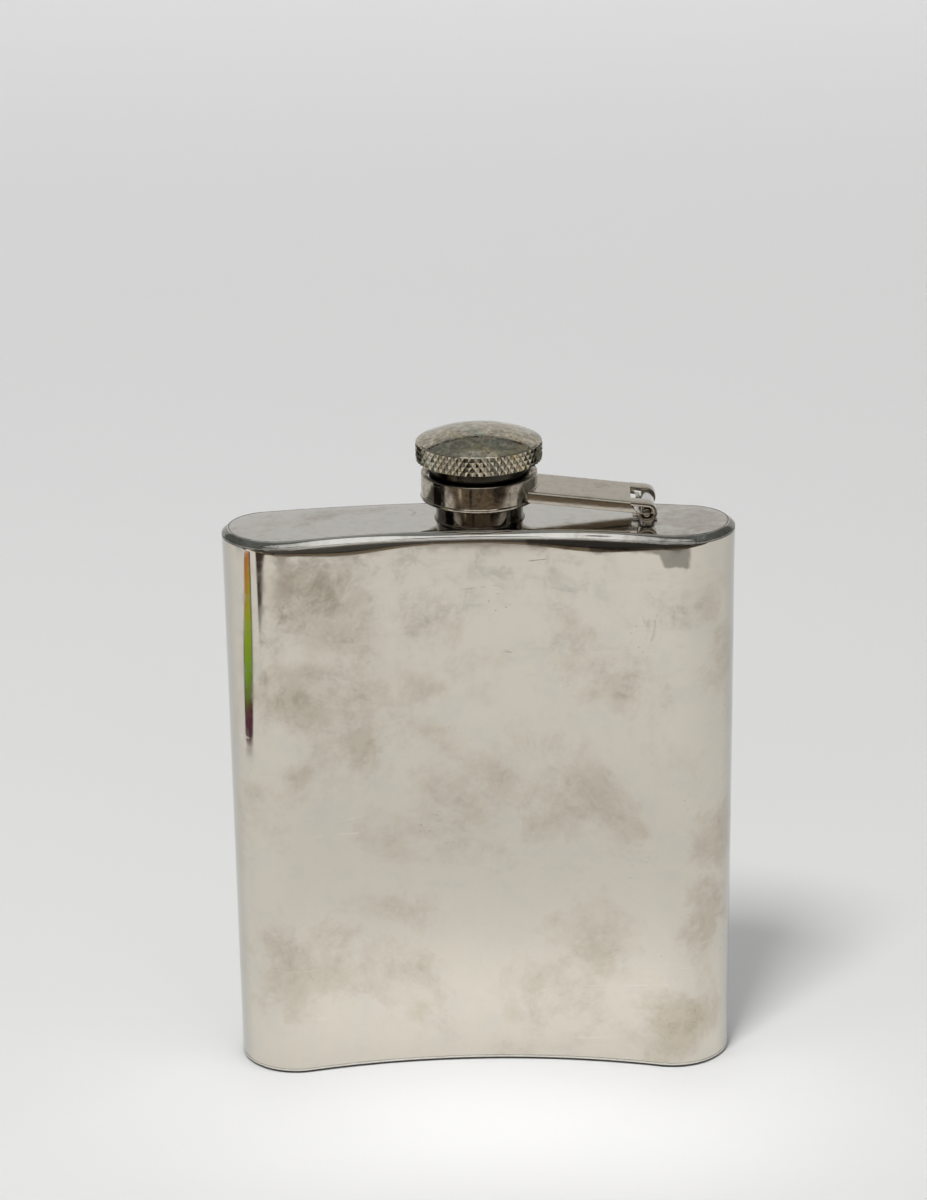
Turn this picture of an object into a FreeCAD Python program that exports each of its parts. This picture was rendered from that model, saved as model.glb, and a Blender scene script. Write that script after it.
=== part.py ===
import FreeCAD, Part
import math
import os
import Sketcher

# Hip flask with a captive screw cap. Millimetres, +Z up.
# Origin: middle of the bounding box, on the resting plane. The hollow (concave) face looks
# towards -Y and the hinge of the cap's arm is on the +X side.

DIMENSIONS = {
    # crescent outline of the body, seen from above; all arcs are tangent
    "half_width": 47.5,
    "front_radius": 134.3,
    "back_radius": 209.5,
    "front_corner": 11.1,
    "back_corner": 9.1,
    "front_offset": 8.4,
    # body sheets
    "body_height": 108.1,
    "wall": 0.7,
    "plate_sheet": 1.4,
    "rim_run": 1.16,
    "rim_drop": 1.05,
    "base_sheet": 1.0,
    "base_edge": 0.4,
    # neck, heights above the top plate
    "neck_x": 0.3,
    "neck_y": 1.26,
    "neck_bore": 5.6,
    "neck_flange": 8.8,
    "flange_sheet": 0.6,
    "neck_collar": 8.08,
    "neck_hole_play": 0.02,
    "collar_top": 3.3,
    "thread_radius": 7.0,
    "thread_top": 6.0,
    "pilot_radius": 6.45,
    "neck_top": 7.5,
    # captive ring on the arm
    "ring_radius": 10.8,
    "ring_lip_radius": 9.84,
    "ring_counterbore": 10.2,
    "ring_bottom": 4.19,
    "ring_step": 8.25,
    "ring_top": 9.01,
    "bead_radius": 10.95,
    "bead_width": 0.5,
    # retaining ring in the cap stem's groove
    "clip_inner": 8.75,
    "clip_outer": 10.1,
    "clip_bottom": 7.35,
    "clip_top": 8.15,
    "clip_sweep": 330,
    # cap stem and gasket
    "stem_radius": 9.3,
    "stem_bore": 7.1,
    "stem_bottom": 6.05,
    "groove_radius": 8.7,
    "groove_bottom": 7.3,
    "groove_top": 8.2,
    "stem_flange": 10.9,
    "stem_top": 14.4,
    "gasket_radius": 6.9,
    "gasket_bottom": 9.8,
    "gasket_top": 11.3,
    # knurled cap
    "knurl_radius": 11.75,
    "knurl_bottom": 11.34,
    "knurl_top": 14.8,
    "shoulder_radius": 11.4,
    "dome_radius": 10.9,
    "dome_bottom": 15.09,
    "dome_top": 17.3,
    "shell_bore": 10.95,
    "shell_ceiling": 14.45,
    # hinge and arm; the arm slopes down from the ring to its rolled end
    "hinge_x": 31.15,
    "hinge_y": 0.45,
    "hinge_height": 2.35,
    "arm_slope": 6.3,
    "arm_length": 24.0,
    "arm_half": 6.05,
    "arm_sheet": 0.85,
    "arm_flange": 2.1,
    "flange_end": 2.4,
    "roll_radius": 1.87,
    "roll_sweep": 270,
    "window_half": 3.25,
    "window_reach": 3.15,
    "pin_radius": 0.95,
    "pin_half": 6.15,
    # bracket on the top plate
    "knuckle_radius": 1.5,
    "knuckle_bore": 1.01,
    "bracket_half": 3.1,
    "bracket_sheet": 0.5,
    "inner_foot": 2.9,
    "outer_foot": 2.7,
}

doc = FreeCAD.newDocument("hip_flask")
sizes = doc.addObject("Spreadsheet::Sheet", "Sizes")
for row, (alias, amount_mm) in enumerate(DIMENSIONS.items(), start=1):
    sizes.set(f"A{row}", alias)
    sizes.set(f"B{row}", str(amount_mm))
    sizes.setAlias(f"B{row}", alias)
doc.recompute()


def tokens(sum_of_names):
    """Split 'a + b - 1.5' into (sign, word) pairs."""
    sign = "+"
    pairs = []
    for word in sum_of_names.split():
        if word in "+-":
            sign = word
        else:
            pairs.append((sign, word))
            sign = "+"
    return pairs


def is_name(word):
    return word in DIMENSIONS


def formula(sum_of_names):
    """The expression that reads the sum from the sheet."""
    terms = []
    for sign, word in tokens(sum_of_names):
        terms.append(f"{sign} Sizes.{word}" if is_name(word) else f"{sign} {word}")
    return "0 " + " ".join(terms)


def mm(sum_of_names):
    """The sum's present value."""
    total = 0.0
    for sign, word in tokens(sum_of_names):
        value = float(sizes.get(word)) if is_name(word) else float(word)
        total += value if sign == "+" else -value
    return total


def bind(thing, path, sum_of_names):
    thing.setExpression(path, formula(sum_of_names))


# ---------------------------------------------------------------- sketches and bodies

def new_body(name):
    body = doc.addObject("PartDesign::Body", name + "_body")
    body.Label = name
    return body


def new_sketch(body, name, plane_role):
    sketch = body.newObject("Sketcher::SketchObject", name)
    plane = [p for p in body.Origin.OriginFeatures if p.Role == plane_role][0]
    sketch.AttachmentSupport = (plane, [""])
    sketch.MapMode = "FlatFace"
    return sketch


def hold(sketch, kind, *where_and_sum):
    """Add a dimensional constraint and bind it to the sheet; the last argument is the sum."""
    *where, sum_of_names = where_and_sum
    index = sketch.addConstraint(Sketcher.Constraint(kind, *where, mm(sum_of_names)))
    bind(sketch, f"Constraints[{index}]", sum_of_names)


def polygon(sketch, corners, arc_after=None):
    """Closed outline through corners, each a pair of sums; one side may be an arc on the V axis."""
    points = [FreeCAD.Vector(mm(x), mm(y), 0) for x, y in corners]
    count = len(points)
    for i, start in enumerate(points):
        end = points[(i + 1) % count]
        if i == arc_after:
            rise = end.y - start.y
            radius = (start.x ** 2 + rise ** 2) / (2 * rise)
            centre = FreeCAD.Vector(0, end.y - radius, 0)
            start_angle = math.atan2(start.y - centre.y, start.x)
            circle = Part.Circle(centre, FreeCAD.Vector(0, 0, 1), radius)
            sketch.addGeometry(Part.ArcOfCircle(circle, start_angle, math.pi / 2))
        else:
            sketch.addGeometry(Part.LineSegment(start, end))
    for i in range(count):
        sketch.addConstraint(Sketcher.Constraint("Coincident", i, 2, (i + 1) % count, 1))
    if arc_after is not None:
        sketch.addConstraint(Sketcher.Constraint("PointOnObject", arc_after, 3, -2))
    for i, (x, y) in enumerate(corners):
        hold(sketch, "DistanceX", -1, 1, i, 1, x)
        hold(sketch, "DistanceY", -1, 1, i, 1, y)


def circle_hole(sketch, x, y, radius):
    centre = FreeCAD.Vector(mm(x), mm(y), 0)
    index = sketch.addGeometry(Part.Circle(centre, FreeCAD.Vector(0, 0, 1), mm(radius)))
    hold(sketch, "DistanceX", -1, 1, index, 3, x)
    hold(sketch, "DistanceY", -1, 1, index, 3, y)
    hold(sketch, "Radius", index, radius)


def crescent(sketch, inset):
    """Six tangent arcs: hollow front, two corners, bulging back, two corners.

    The front apex is at the sketch's origin, and inset moves the outline into the metal.
    """
    width = mm("half_width - " + inset)
    front = mm("front_radius + " + inset)
    back = mm("back_radius - " + inset)
    near = mm("front_corner - " + inset)
    far = mm("back_corner - " + inset)
    side_y = -mm("front_radius") + math.sqrt((front + near) ** 2 - (width - near) ** 2)
    back_y = side_y - math.sqrt((back - far) ** 2 - (width - far) ** 2)
    near_angle = math.atan2(side_y + mm("front_radius"), width - near)
    far_angle = math.atan2(side_y - back_y, width - far)
    turn = math.pi
    arcs = [
        (0, -mm("front_radius"), front, near_angle, turn - near_angle),
        (width - near, side_y, near, near_angle + turn, 2 * turn),
        (width - far, side_y, far, 0, far_angle),
        (0, back_y, back, far_angle, turn - far_angle),
        (far - width, side_y, far, turn - far_angle, turn),
        (near - width, side_y, near, turn, 2 * turn - near_angle),
    ]
    first = sketch.GeometryCount
    for x, y, radius, start, end in arcs:
        circle = Part.Circle(FreeCAD.Vector(x, y, 0), FreeCAD.Vector(0, 0, 1), radius)
        sketch.addGeometry(Part.ArcOfCircle(circle, start, end))
    front_arc, right_near, right_far, back_arc, left_far, left_near = range(first, first + 6)
    joints = [
        (front_arc, 1, right_near, 1),
        (right_near, 2, right_far, 1),
        (right_far, 2, back_arc, 1),
        (back_arc, 2, left_far, 1),
        (left_far, 2, left_near, 1),
        (left_near, 2, front_arc, 2),
    ]
    for joint in joints:
        sketch.addConstraint(Sketcher.Constraint("Tangent", *joint))
    sketch.addConstraint(Sketcher.Constraint("PointOnObject", front_arc, 3, -2))
    sketch.addConstraint(Sketcher.Constraint("PointOnObject", back_arc, 3, -2))
    sketch.addConstraint(Sketcher.Constraint("Equal", right_near, left_near))
    sketch.addConstraint(Sketcher.Constraint("Equal", right_far, left_far))
    sketch.addConstraint(Sketcher.Constraint("Horizontal", right_near, 3, right_near, 2))
    hold(sketch, "DistanceY", -1, 1, front_arc, 3, "0 - front_radius")
    hold(sketch, "DistanceX", -1, 1, right_near, 2, "half_width - " + inset)
    hold(sketch, "DistanceX", -1, 1, left_far, 2, inset + " - half_width")
    hold(sketch, "Radius", front_arc, "front_radius + " + inset)
    hold(sketch, "Radius", right_near, "front_corner - " + inset)
    hold(sketch, "Radius", right_far, "back_corner - " + inset)
    hold(sketch, "Radius", back_arc, "back_radius - " + inset)


def pad(body, sketch, length):
    feature = body.newObject("PartDesign::Pad", sketch.Name + "_pad")
    feature.Profile = sketch
    bind(feature, "Length", length)
    doc.recompute()
    return feature


def bevel(body, base, height, run, drop):
    """Bevel all edges of the flat face at this height: run across it, drop along the side."""
    faces = enumerate(base.Shape.Faces, start=1)
    flat = [i for i, face in faces if abs(face.BoundBox.ZMin - height) < 1e-6
            and abs(face.BoundBox.ZMax - height) < 1e-6]
    feature = body.newObject("PartDesign::Chamfer", base.Name + "_bevel")
    feature.Base = (base, [f"Face{flat[0]}"])
    feature.ChamferType = "Two distances"
    bind(feature, "Size", run)
    bind(feature, "Size2", drop)
    doc.recompute()
    return feature


def turned(name, corners, sweep="360", arc_after=None):
    """A piece turned about the neck's axis; heights are above the top plate."""
    body = new_body(name)
    sketch = new_sketch(body, name + "_profile", "XZ_Plane")
    polygon(sketch, corners, arc_after)
    feature = body.newObject("PartDesign::Revolution", name + "_turn")
    feature.Profile = sketch
    feature.ReferenceAxis = (sketch, ["V_Axis"])
    bind(feature, "Angle", sweep)
    bind(body, "Placement.Base.x", "neck_x")
    bind(body, "Placement.Base.y", "neck_y")
    bind(body, "Placement.Base.z", "body_height")
    doc.recompute()
    return body


# ---------------------------------------------------------------- flask body

def make_shell():
    """The wrapped side wall, open at both ends."""
    body = new_body("body_shell")
    sketch = new_sketch(body, "shell_outline", "XY_Plane")
    crescent(sketch, "0")
    crescent(sketch, "wall")
    pad(body, sketch, "body_height - base_sheet - plate_sheet")
    bind(body, "Placement.Base.y", "0 - front_offset")
    bind(body, "Placement.Base.z", "base_sheet")
    return body


def make_top_plate():
    """Top plate with a bevelled rim and the hole that the neck stands in."""
    body = new_body("top_plate")
    sketch = new_sketch(body, "top_outline", "XY_Plane")
    crescent(sketch, "0")
    plate = pad(body, sketch, "plate_sheet")
    rim = bevel(body, plate, mm("plate_sheet"), "rim_run", "rim_drop")
    top = [v for v in rim.Shape.Vertexes if abs(v.Z - mm("plate_sheet")) < 1e-6]
    if abs(max(v.Y for v in top) - (plate.Shape.BoundBox.YMax - mm("rim_run"))) > 0.02:
        rim.FlipDirection = True
        doc.recompute()
    solid_volume = rim.Shape.Volume
    hole_sketch = new_sketch(body, "top_hole", "XY_Plane")
    circle_hole(hole_sketch, "neck_x", "neck_y + front_offset", "neck_collar + neck_hole_play")
    hole = body.newObject("PartDesign::Pocket", "neck_hole")
    hole.Profile = hole_sketch
    hole.Type = "ThroughAll"
    hole.Reversed = True
    doc.recompute()
    removed = solid_volume - hole.Shape.Volume
    expected = math.pi * mm("neck_collar + neck_hole_play") ** 2 * mm("plate_sheet")
    if abs(removed - expected) > 0.01 * expected:
        raise RuntimeError("the neck hole does not go through the top plate")
    bind(body, "Placement.Base.y", "0 - front_offset")
    bind(body, "Placement.Base.z", "body_height - plate_sheet")
    return body


def make_base_plate():
    """Base plate, whose lower edge is broken by a small bevel."""
    body = new_body("base_plate")
    sketch = new_sketch(body, "base_outline", "XY_Plane")
    crescent(sketch, "0")
    plate = pad(body, sketch, "base_sheet")
    bevel(body, plate, 0.0, "base_edge", "base_edge")
    bind(body, "Placement.Base.y", "0 - front_offset")
    return body


def make_neck():
    """Spout: flange under the plate, collar, threaded length and plain lead."""
    return turned("neck", [
        ("neck_bore", "0 - plate_sheet - flange_sheet"),
        ("neck_flange", "0 - plate_sheet - flange_sheet"),
        ("neck_flange", "0 - plate_sheet"),
        ("neck_collar", "0 - plate_sheet"),
        ("neck_collar", "collar_top"),
        ("thread_radius", "collar_top"),
        ("thread_radius", "thread_top"),
        ("pilot_radius", "thread_top"),
        ("pilot_radius", "neck_top"),
        ("neck_bore", "neck_top"),
    ])


# ---------------------------------------------------------------- captive ring and cap

def make_captive_ring():
    """Ring at the arm's end, with a bead at its foot and a lip inside its top."""
    return turned("captive_ring", [
        ("ring_counterbore", "ring_bottom"),
        ("bead_radius", "ring_bottom"),
        ("bead_radius", "ring_bottom + bead_width"),
        ("ring_radius", "ring_bottom + bead_width"),
        ("ring_radius", "ring_top"),
        ("ring_lip_radius", "ring_top"),
        ("ring_lip_radius", "ring_step"),
        ("ring_counterbore", "ring_step"),
    ])


def make_retaining_ring():
    """Split ring in the stem's groove; it keeps the stem in the captive ring."""
    return turned("retaining_ring", [
        ("clip_inner", "clip_bottom"),
        ("clip_outer", "clip_bottom"),
        ("clip_outer", "clip_top"),
        ("clip_inner", "clip_top"),
    ], sweep="clip_sweep")


def make_cap_stem():
    """Threaded stem with the groove for the retaining ring and a flange in the cap's shell."""
    return turned("cap_stem", [
        ("0", "gasket_top"),
        ("stem_bore", "gasket_top"),
        ("stem_bore", "stem_bottom"),
        ("stem_radius", "stem_bottom"),
        ("stem_radius", "groove_bottom"),
        ("groove_radius", "groove_bottom"),
        ("groove_radius", "groove_top"),
        ("stem_radius", "groove_top"),
        ("stem_radius", "knurl_bottom"),
        ("stem_flange", "knurl_bottom"),
        ("stem_flange", "stem_top"),
        ("0", "stem_top"),
    ])


def make_cap_gasket():
    """Sealing disc at the top of the stem's bore."""
    return turned("cap_gasket", [
        ("0", "gasket_bottom"),
        ("gasket_radius", "gasket_bottom"),
        ("gasket_radius", "gasket_top"),
        ("0", "gasket_top"),
    ])


def make_cap_shell():
    """Cap's outer shell: knurled band, shoulder and low dome."""
    return turned("cap_shell", [
        ("shell_bore", "knurl_bottom"),
        ("knurl_radius", "knurl_bottom"),
        ("knurl_radius", "knurl_top"),
        ("shoulder_radius", "dome_bottom"),
        ("dome_radius", "dome_bottom"),
        ("0", "dome_top"),
        ("0", "shell_ceiling"),
        ("shell_bore", "shell_ceiling"),
    ], arc_after=4)


# ---------------------------------------------------------------- hinge

def box(name, low, high):
    """Box between two corners, each three sums."""
    solid = doc.addObject("Part::Box", name)
    for side, low_sum, high_sum in zip(("Length", "Width", "Height"), low, high):
        solid.setExpression(side, f"({formula(high_sum)}) - ({formula(low_sum)})")
    for axis, low_sum in zip("xyz", low):
        bind(solid, f"Placement.Base.{axis}", low_sum)
    return solid


def crosswise(name, radius, half_length, sweep="360", start_angle=0.0, frame=None):
    """Cylinder along Y, centred on the frame's origin; a part sweep runs from start_angle up."""
    solid = doc.addObject("Part::Cylinder", name)
    bind(solid, "Radius", radius)
    bind(solid, "Height", half_length + " + " + half_length)
    bind(solid, "Angle", sweep)
    lay_down = FreeCAD.Rotation(FreeCAD.Vector(1, 0, 0), 90)
    about_own_axis = FreeCAD.Rotation(FreeCAD.Vector(0, 0, 1), start_angle)
    far_end = FreeCAD.Vector(0, mm(half_length), 0)
    lying = FreeCAD.Placement(far_end, lay_down.multiply(about_own_axis))
    solid.Placement = frame.multiply(lying) if frame else lying
    return solid


def fuse(name, shapes):
    union = doc.addObject("Part::MultiFuse", name)
    union.Shapes = shapes
    union.Refine = True
    return union


def cut(name, base, tool):
    difference = doc.addObject("Part::Cut", name)
    difference.Base = base
    difference.Tool = tool
    difference.Refine = True
    return difference


def hinge_placement(slope):
    """Frame on the pin's axis, turned so that its -X side points at the neck."""
    reach = mm("hinge_x - neck_x")
    yaw = -math.degrees(math.atan2(mm("neck_y - hinge_y"), reach))
    place = FreeCAD.Vector(mm("hinge_x"), mm("hinge_y"), mm("body_height + hinge_height"))
    return FreeCAD.Placement(place, FreeCAD.Rotation(yaw, slope, 0))


def make_arm():
    """Channel strip, coped to the ring, with two lobes rolled over the hinge pin."""
    strip = box(
        "arm_strip",
        ("0 - arm_length", "0 - arm_half", "roll_radius - arm_sheet"),
        ("0", "arm_half", "roll_radius"),
    )
    near_flange = box(
        "arm_near_flange",
        ("0 - arm_length", "0 - arm_half", "roll_radius - arm_flange"),
        ("0 - flange_end", "arm_sheet - arm_half", "roll_radius"),
    )
    far_flange = box(
        "arm_far_flange",
        ("0 - arm_length", "arm_half - arm_sheet", "roll_radius - arm_flange"),
        ("0 - flange_end", "arm_half", "roll_radius"),
    )
    roll = crosswise("arm_roll", "roll_radius", "arm_half", "roll_sweep", 180.0)
    bore = crosswise("arm_roll_bore", "roll_radius - arm_sheet", "arm_half + 1")
    window = box(
        "arm_window",
        ("0 - window_reach", "0 - window_half", "0 - roll_radius - 1"),
        ("roll_radius + 1", "window_half", "roll_radius + 1"),
    )
    blank = fuse("arm_blank", [strip, near_flange, far_flange, roll])
    pierced = cut("arm_pierced", blank, fuse("arm_cutters", [bore, window]))
    pierced.Placement = hinge_placement(mm("arm_slope"))
    cope = doc.addObject("Part::Cylinder", "arm_cope")
    bind(cope, "Radius", "ring_radius")
    bind(cope, "Height", "ring_top + 10")
    bind(cope, "Placement.Base.x", "neck_x")
    bind(cope, "Placement.Base.y", "neck_y")
    bind(cope, "Placement.Base.z", "body_height")
    arm = cut("arm_coped", pierced, cope)
    arm.Label = "hinge_arm"
    return arm


def make_pin():
    """Hinge pin through both lobes and the bracket's knuckle."""
    pin = crosswise("pin", "pin_radius", "pin_half", frame=hinge_placement(0.0))
    pin.Label = "hinge_pin"
    return pin


def make_bracket():
    """Strip bent over the pin, with two legs and two feet on the top plate."""
    floor = "0 - hinge_height"
    foot_top = "bracket_sheet - hinge_height"
    loop = crosswise("bracket_loop", "knuckle_radius", "bracket_half")
    legs = box(
        "bracket_legs",
        ("0 - knuckle_radius", "0 - bracket_half", floor),
        ("knuckle_radius", "bracket_half", "0"),
    )
    feet = box(
        "bracket_feet",
        ("0 - inner_foot", "0 - bracket_half", floor),
        ("outer_foot", "bracket_half", foot_top),
    )
    bore = crosswise("bracket_bore", "knuckle_bore", "bracket_half + 1")
    slot = box(
        "bracket_slot",
        ("0 - knuckle_bore", "0 - bracket_half - 1", foot_top),
        ("knuckle_bore", "bracket_half + 1", "0"),
    )
    bracket = cut(
        "bracket_bent",
        fuse("bracket_blank", [loop, legs, feet]),
        fuse("bracket_cutters", [bore, slot]),
    )
    bracket.Placement = hinge_placement(0.0)
    bracket.Label = "hinge_bracket"
    return bracket


pieces = [
    make_shell(),
    make_top_plate(),
    make_base_plate(),
    make_neck(),
    make_bracket(),
    make_arm(),
    make_captive_ring(),
    make_pin(),
    make_retaining_ring(),
    make_cap_stem(),
    make_cap_gasket(),
    make_cap_shell(),
]
doc.recompute()

for item in doc.Objects:
    if "Invalid" in item.State or "Error" in item.State:
        raise RuntimeError(f"{item.Name} failed: {item.State}")
for piece in pieces:
    if piece.Shape.isNull() or not piece.Shape.isValid():
        raise RuntimeError(f"{piece.Label} has no valid shape")

os.makedirs("parts", exist_ok=True)
for piece in pieces:
    piece.Shape.exportStep(f"parts/{piece.Label}.step")
    limits = piece.Shape.BoundBox
    print(
        f"{piece.Label:15s} volume {piece.Shape.Volume:9.2f}  solids {len(piece.Shape.Solids)}"
        f"  x {limits.XMin:7.2f} {limits.XMax:7.2f}  y {limits.YMin:7.2f} {limits.YMax:7.2f}"
        f"  z {limits.ZMin:7.2f} {limits.ZMax:7.2f}"
    )
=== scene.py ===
import math

import bmesh
import bpy
from mathutils import Matrix, Vector, noise


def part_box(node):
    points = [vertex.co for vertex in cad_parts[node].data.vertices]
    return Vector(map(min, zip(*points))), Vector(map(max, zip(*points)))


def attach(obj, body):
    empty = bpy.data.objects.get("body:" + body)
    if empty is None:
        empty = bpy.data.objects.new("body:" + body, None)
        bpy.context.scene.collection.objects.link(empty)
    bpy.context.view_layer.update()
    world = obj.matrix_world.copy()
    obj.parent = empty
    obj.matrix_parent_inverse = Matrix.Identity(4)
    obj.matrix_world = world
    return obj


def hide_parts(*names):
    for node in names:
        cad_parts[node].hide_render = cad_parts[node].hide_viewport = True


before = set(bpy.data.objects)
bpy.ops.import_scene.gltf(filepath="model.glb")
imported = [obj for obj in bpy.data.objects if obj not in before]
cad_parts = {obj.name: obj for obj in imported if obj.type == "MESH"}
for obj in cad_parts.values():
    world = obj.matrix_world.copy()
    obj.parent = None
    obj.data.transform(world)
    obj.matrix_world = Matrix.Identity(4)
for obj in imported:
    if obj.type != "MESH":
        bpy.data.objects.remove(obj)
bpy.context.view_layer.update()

MM = 0.001
TURN = 2 * math.pi

# ---------------------------------------------------------------- sizes, in millimetres
# Crescent outline of the body: six tangent arcs, as in the CAD model.
HALF_WIDTH = 47.5
FRONT_RADIUS = 134.3
BACK_RADIUS = 209.5
FRONT_CORNER = 11.1
BACK_CORNER = 9.1
FRONT_APEX = -8.4
WALL = 0.7
FACE_POINTS = 150
FRONT_CORNER_POINTS = 44
BACK_CORNER_POINTS = 36

plate_low, plate_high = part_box("top_plate")
shell_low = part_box("body_shell")[0]
ring_low, ring_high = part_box("captive_ring")
pin_low, pin_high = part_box("hinge_pin")

TOP = plate_high.z / MM
PLATE_UNDER = plate_low.z / MM
SHELL_FOOT = shell_low.z / MM
NECK_X = (ring_low.x + ring_high.x) / 2 / MM
NECK_Y = (ring_low.y + ring_high.y) / 2 / MM
RIM_RUN = 1.16
RIM_DROP = 1.05
# Top of the painted contact shadow along the base plate's foot.
BASE_SHADE_TOP = 0.4

PIN_X = (pin_low.x + pin_high.x) / 2 / MM
PIN_Y = (pin_low.y + pin_high.y) / 2 / MM
PIN_Z = (pin_low.z + pin_high.z) / 2 / MM
PIN_RISE = PIN_Z - TOP
ARM_YAW = -math.atan2(NECK_Y - PIN_Y, PIN_X - NECK_X)
ARM_SLOPE = math.radians(6.3)

# Heights in the cap and on the neck are measured from the top plate.
THREAD_PITCH = 1.5
THREAD_DEPTH = 0.45
DOME_FOOT = 14.8
NEAR_AXIS = 0.001  # radius that stands for the axis of a turned part

# In metres: points closer than the first are merged, and edges shorter than the second go.
SAME_POINT = 1e-7
SLIVER = 1e-8


# ---------------------------------------------------------------- flat outlines

def crescent(inset):
    """Points of the body's outline, moved into the metal by inset, with their outward normals."""
    width = HALF_WIDTH - inset
    front = FRONT_RADIUS + inset
    back = BACK_RADIUS - inset
    near = FRONT_CORNER - inset
    far = BACK_CORNER - inset
    side = math.sqrt((front + near) ** 2 - (width - near) ** 2) - FRONT_RADIUS
    back_y = side - math.sqrt((back - far) ** 2 - (width - far) ** 2)
    near_angle = math.atan2(side + FRONT_RADIUS, width - near)
    far_angle = math.atan2(side - back_y, width - far)
    # centre, radius, first and last angle, number of points, and 1 for a bulge or -1 for a hollow
    arcs = [
        (0, -FRONT_RADIUS, front, math.pi - near_angle, near_angle, FACE_POINTS, -1),
        (width - near, side, near, near_angle - math.pi, 0, FRONT_CORNER_POINTS, 1),
        (width - far, side, far, 0, far_angle, BACK_CORNER_POINTS, 1),
        (0, back_y, back, far_angle, math.pi - far_angle, FACE_POINTS, 1),
        (far - width, side, far, math.pi - far_angle, math.pi, BACK_CORNER_POINTS, 1),
        (near - width, side, near, math.pi, TURN - near_angle, FRONT_CORNER_POINTS, 1),
    ]
    points = []
    for x, y, radius, start, end, count, outward in arcs:
        for i in range(count):
            angle = start + (end - start) * i / count
            across, along = math.cos(angle), math.sin(angle)
            place = Vector((x + radius * across, FRONT_APEX + y + radius * along))
            points.append((place, Vector((across, along)) * outward))
    return points


def rounded(corners, steps=5, closed=True):
    """Outline whose corners are (across, up, radius); an open one keeps its two ends sharp."""
    points = []
    count = len(corners)
    for i, (x, y, radius) in enumerate(corners):
        here = Vector((x, y))
        before = Vector(corners[i - 1][:2]) - here
        after = Vector(corners[(i + 1) % count][:2]) - here
        if radius <= 0 or (not closed and i in (0, count - 1)):
            points.append(here)
            continue
        back, ahead = before.normalized(), after.normalized()
        half_angle = back.angle(ahead) / 2
        tangent = radius / math.tan(half_angle)
        centre = here + (back + ahead).normalized() * (radius / math.sin(half_angle))
        start = here + back * tangent - centre
        end = here + ahead * tangent - centre
        sweep = start.angle_signed(end)
        for k in range(steps + 1):
            turn = -sweep * k / steps
            c, s = math.cos(turn), math.sin(turn)
            points.append(centre + Vector((start.x * c - start.y * s, start.x * s + start.y * c)))
    return points


# ---------------------------------------------------------------- meshes

def grid_faces(rows, columns, close_rows=False):
    """Quads between closed rows of points that are numbered row by row."""
    faces = []
    for i in range(rows if close_rows else rows - 1):
        for j in range(columns):
            a = i * columns + j
            b = i * columns + (j + 1) % columns
            c = ((i + 1) % rows) * columns + (j + 1) % columns
            d = ((i + 1) % rows) * columns + j
            faces.append((a, b, c, d))
    return faces


class Shape:
    """Points in millimetres and faces of one piece, built up from closed parts."""

    def __init__(self):
        self.points = []
        self.faces = []

    def add(self, points, faces):
        first = len(self.points)
        self.points += points
        self.faces += [tuple(first + i for i in face) for face in faces]

    def wrap(self, rings):
        """Skin over rings of points of which the last joins the first."""
        points = [p for ring in rings for p in ring]
        self.add(points, grid_faces(len(rings), len(rings[0]), close_rows=True))

    def lathe(self, outline, segments, radius_at=None, matrix=None):
        """Turn a closed outline of (radius, height) about the neck's axis or a given matrix."""
        rings = []
        for j in range(segments):
            angle = TURN * j / segments
            ring = []
            for radius, height in outline:
                r = radius_at(angle, radius, height) if radius_at else radius
                place = Vector((r * math.cos(angle), r * math.sin(angle), height))
                ring.append(matrix @ place if matrix else place + Vector((NECK_X, NECK_Y, TOP)))
            rings.append(ring)
        self.wrap(rings)

    def loft(self, rings, ends=None):
        """Closed skin over rings of points; each end is one flat face or the faces given."""
        count = len(rings[0])
        last = (len(rings) - 1) * count
        points = [p for ring in rings for p in ring]
        faces = grid_faces(len(rings), count)
        if ends:
            for start in (0, last):
                faces += [tuple(corner + start for corner in end) for end in ends]
        else:
            faces.append(tuple(reversed(range(count))))
            faces.append(tuple(range(last, last + count)))
        self.add(points, faces)

    def piece(self, name, body, nodes, material, sharp):
        """Make the Blender object; edges steeper than sharp, in degrees, stay sharp."""
        mesh = bpy.data.meshes.new(name)
        mesh.from_pydata([Vector(p) * MM for p in self.points], [], self.faces)
        work = bmesh.new()
        work.from_mesh(mesh)
        bmesh.ops.remove_doubles(work, verts=work.verts, dist=SAME_POINT)
        bmesh.ops.dissolve_degenerate(work, edges=work.edges, dist=SLIVER)
        bmesh.ops.recalc_face_normals(work, faces=work.faces)
        work.to_mesh(mesh)
        work.free()
        mesh.shade_smooth()
        mesh.set_sharp_from_angle(angle=math.radians(sharp))
        mesh.materials.append(material)
        thing = bpy.data.objects.new(name, mesh)
        bpy.context.scene.collection.objects.link(thing)
        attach(thing, body)
        if nodes:
            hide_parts(*nodes)


def smooth(low, high, value):
    """Smooth step of value from 0 at low to 1 at high."""
    share = min(max((value - low) / (high - low), 0.0), 1.0)
    return share * share * (3 - 2 * share)


def bell(value, centre, width):
    """1 at the centre, falling away smoothly to both sides."""
    return math.exp(-((value - centre) / width) ** 2)


# ---------------------------------------------------------------- material graphs

def fill_ramp(ramp, stops):
    """Set a colour ramp's stops, each a position and a colour."""
    while len(ramp.elements) < len(stops):
        ramp.elements.new(0.5)
    for element, (position, colour) in zip(ramp.elements, stops):
        element.position = position
        element.color = (*colour, 1)


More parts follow.
